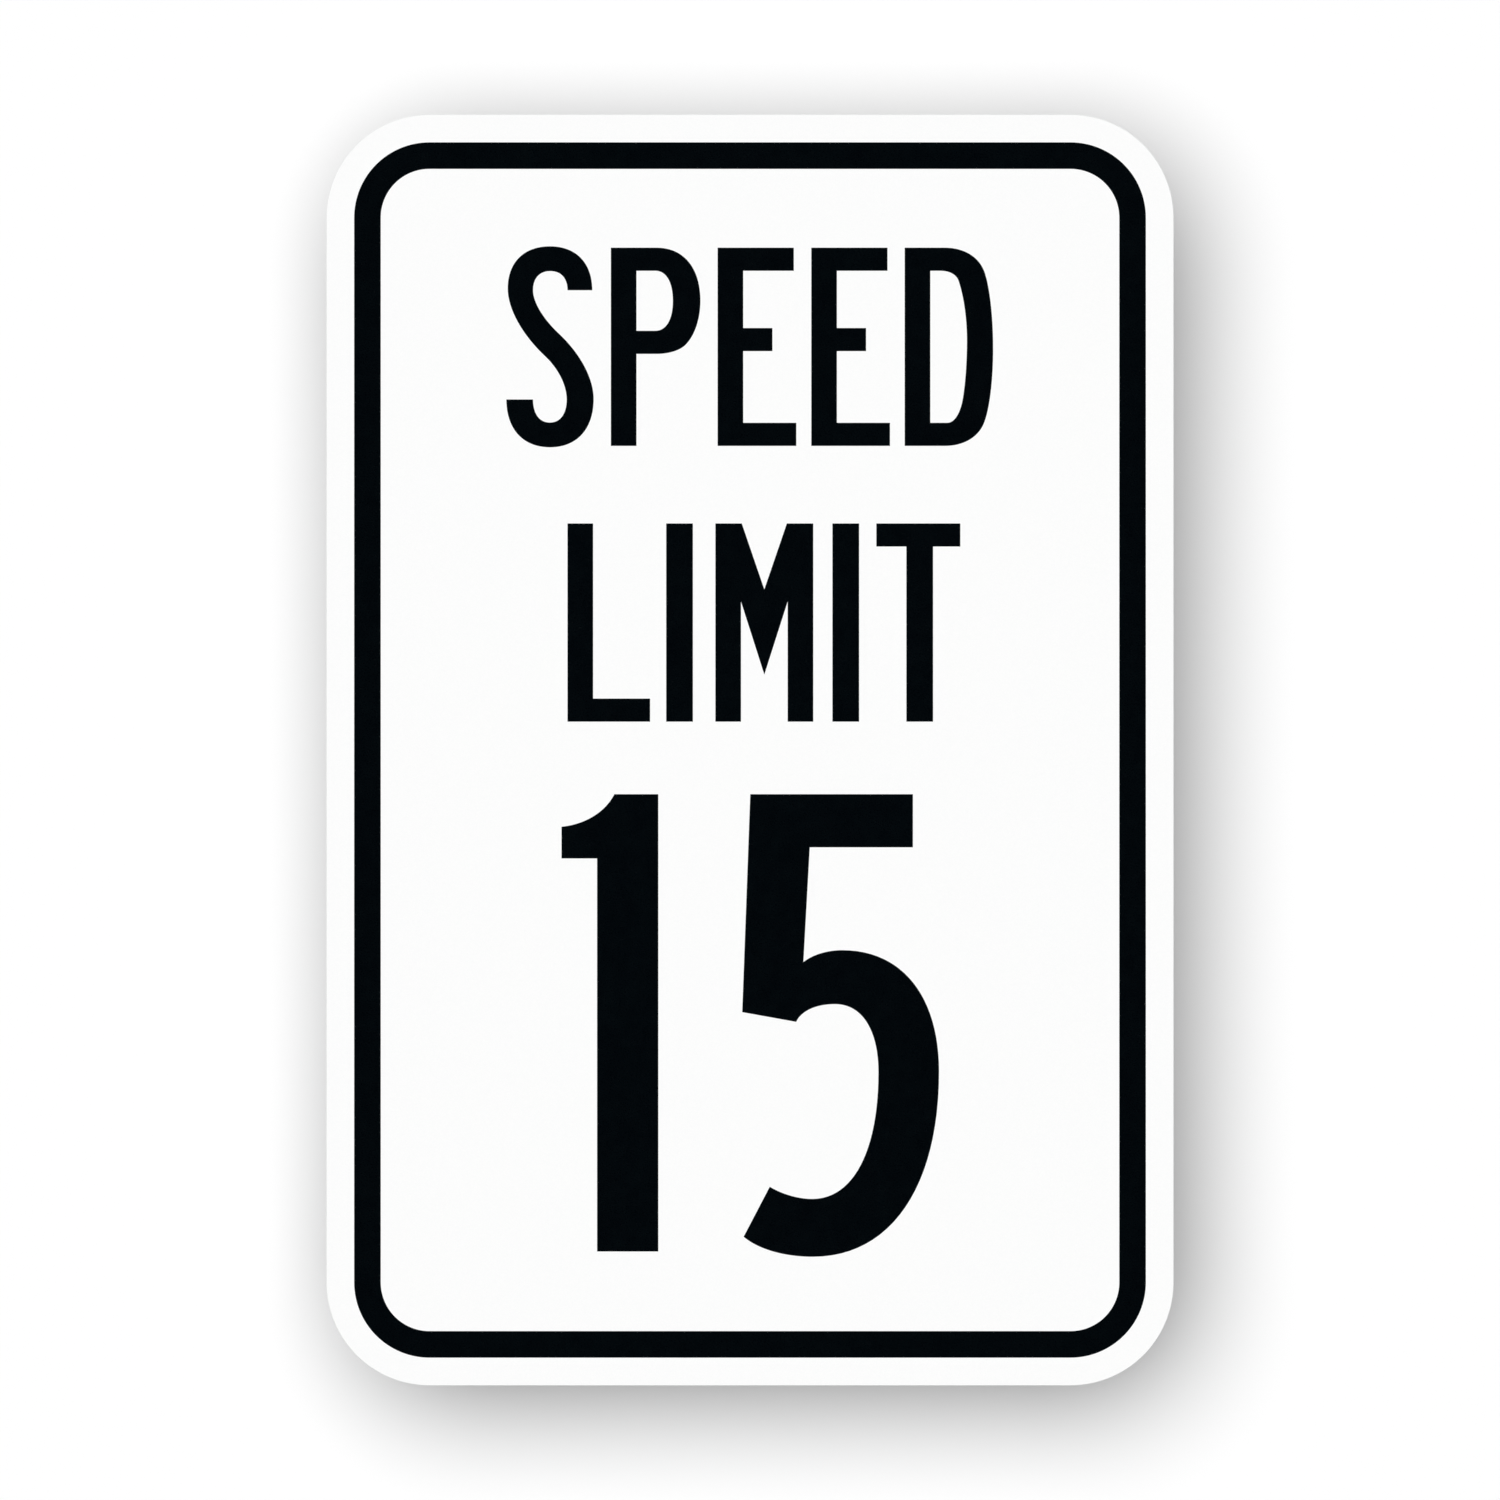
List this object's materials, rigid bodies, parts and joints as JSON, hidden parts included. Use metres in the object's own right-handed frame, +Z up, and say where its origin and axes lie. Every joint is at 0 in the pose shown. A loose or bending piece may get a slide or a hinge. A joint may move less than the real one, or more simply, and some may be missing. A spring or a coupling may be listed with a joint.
{
  "type": "speed limit sign",
  "caption": "Flat portrait road sign: thin aluminium sheet with rounded corners, white reflective film and black border band on its front, bare back that goes against a post or wall.",
  "frame": {"origin": "centre of the back face, which goes against the post or wall", "axes": "+Z up, +X to the reader's right, and the printed front faces -Y"},
  "size_m": [0.3048, 0.0018, 0.4572],
  "materials": {
    "bare_aluminium": "mill finish sheet, rolled grain along its height",
    "white_reflective_film": "semi-gloss enclosed-bead reflective film",
    "black_print": "satin black print"
  },
  "bodies": {
    "root": {"sign_blank": "bare_aluminium", "white_film": "white_reflective_film", "black_border": "black_print"}
  },
  "joints": []
}
